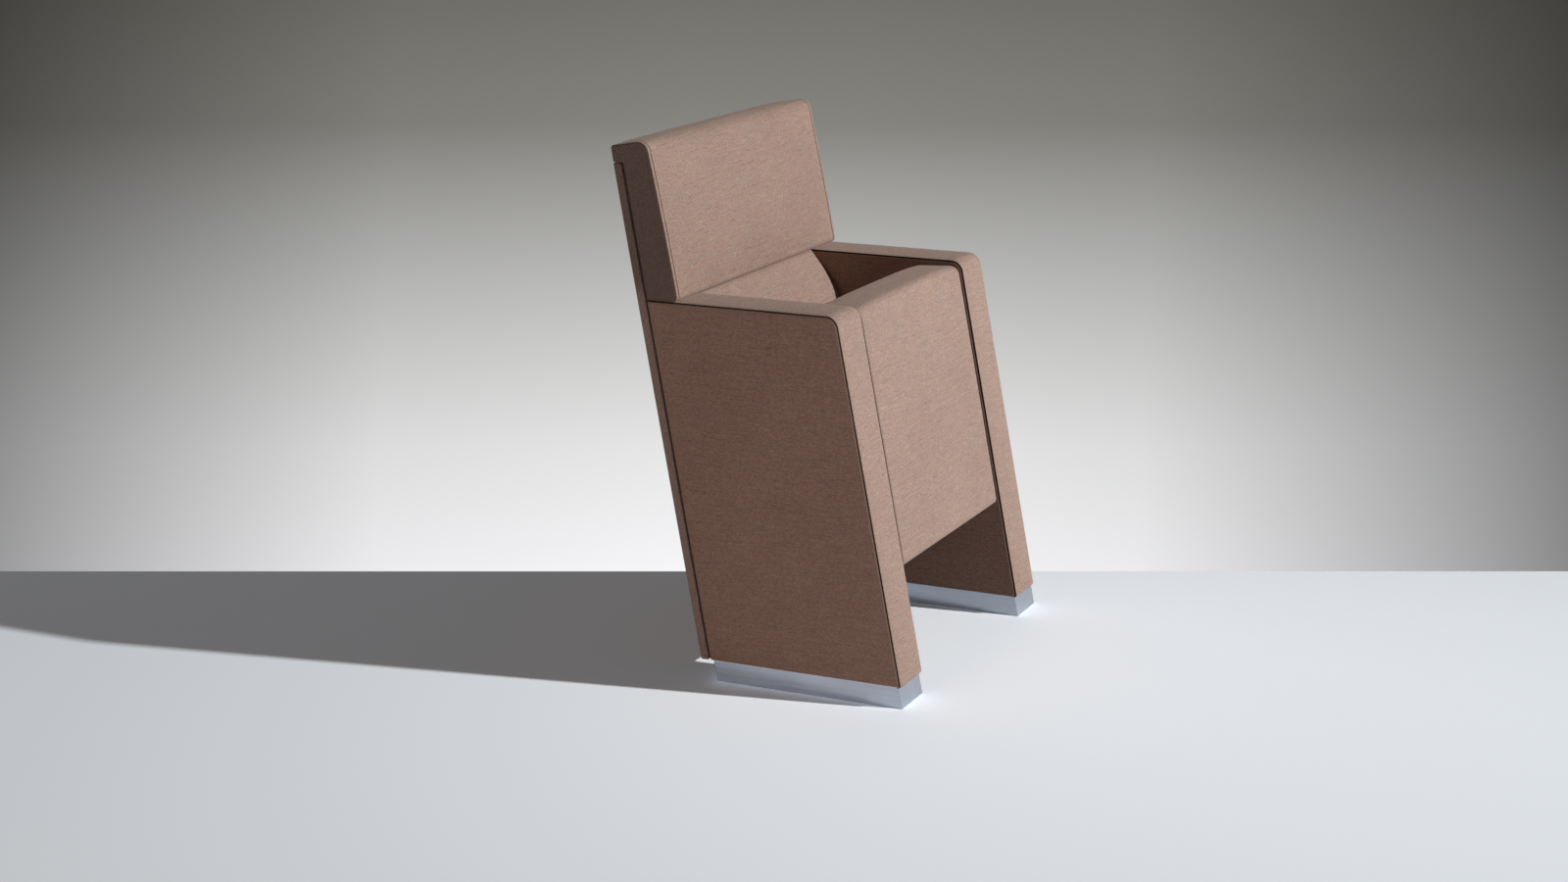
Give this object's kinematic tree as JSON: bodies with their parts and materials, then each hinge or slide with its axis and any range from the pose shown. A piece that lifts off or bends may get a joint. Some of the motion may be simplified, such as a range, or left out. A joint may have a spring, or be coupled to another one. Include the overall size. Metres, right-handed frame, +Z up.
{
  "type": "tip up auditorium seat",
  "caption": "Upholstered auditorium seat: raked side panels on low metal plinths, a broad back above the arms and a sprung seat that tips up flush between the sides.",
  "frame": {"origin": "centre of the four floor anchor holes, at floor level", "axes": "+Z up, -Y the way the sitter faces, +X the sitter's left"},
  "size_m": [0.64, 0.5214, 0.8992],
  "materials": {
    "upholstery": "woven wool-look upholstery over foam",
    "plinth_aluminium": "satin",
    "dark_steel": "matt powder coat",
    "zinc_steel": "zinc plated",
    "spring_steel": "oiled spring steel",
    "plywood": "birch plywood",
    "black_nylon": "matt",
    "black_rubber": "matt",
    "webbing": "elastic webbing"
  },
  "bodies": {
    "carcass": {"base_plate_left": "dark_steel", "base_plate_right": "dark_steel", "plinth_left": "plinth_aluminium", "plinth_right": "plinth_aluminium", "base_bolts_left": "zinc_steel", "base_bolts_right": "zinc_steel", "side_frame_left": "dark_steel", "side_frame_right": "dark_steel", "outer_board_left": "plywood", "outer_board_right": "plywood", "inner_board_left": "plywood", "inner_board_right": "plywood", "edge_strip_left": "plywood", "edge_strip_right": "plywood", "rear_strip_left": "plywood", "rear_strip_right": "plywood", "board_screws_left": "zinc_steel", "board_screws_right": "zinc_steel", "outer_pad_left": "upholstery", "outer_pad_right": "upholstery", "inner_pad_left": "upholstery", "inner_pad_right": "upholstery", "arm_band_left": "upholstery", "arm_band_right": "upholstery", "hinge_plate_left": "zinc_steel", "hinge_plate_right": "zinc_steel", "hinge_bush_left": "black_nylon", "hinge_bush_right": "black_nylon", "stop_buffers_left": "black_rubber", "stop_buffers_right": "black_rubber", "return_spring_left": "spring_steel", "return_spring_right": "spring_steel", "back_frame": "dark_steel", "upper_back_board": "plywood", "upper_back_pad": "upholstery", "lumbar_board": "plywood", "lumbar_pad": "upholstery", "rear_board": "plywood", "rear_cover": "upholstery", "panel_spacers": "black_nylon", "back_rail_low": "dark_steel", "back_rail_middle": "dark_steel", "back_rail_high": "dark_steel"},
    "seat": {"hinge_shaft_left": "zinc_steel", "hinge_shaft_right": "zinc_steel", "hinge_washer_left": "black_nylon", "hinge_washer_right": "black_nylon", "stop_arm_left": "zinc_steel", "stop_arm_right": "zinc_steel", "seat_frame": "dark_steel", "seat_board": "plywood", "seat_screws": "zinc_steel", "seat_straps": "webbing", "seat_cover": "upholstery", "seat_cushion": "upholstery"}
  },
  "joints": [
    {"name": "seat_tip", "type": "hinge", "parent": "carcass", "child": "seat", "pos_m": [0, -0.03694, 0.39678], "axis": [1, 0, 0], "range_deg": [0, 96], "stiffness_Nm_per_rad": 2, "springref_deg": -34.38, "deforming": ["return_spring_left", "return_spring_right"]}
  ]
}
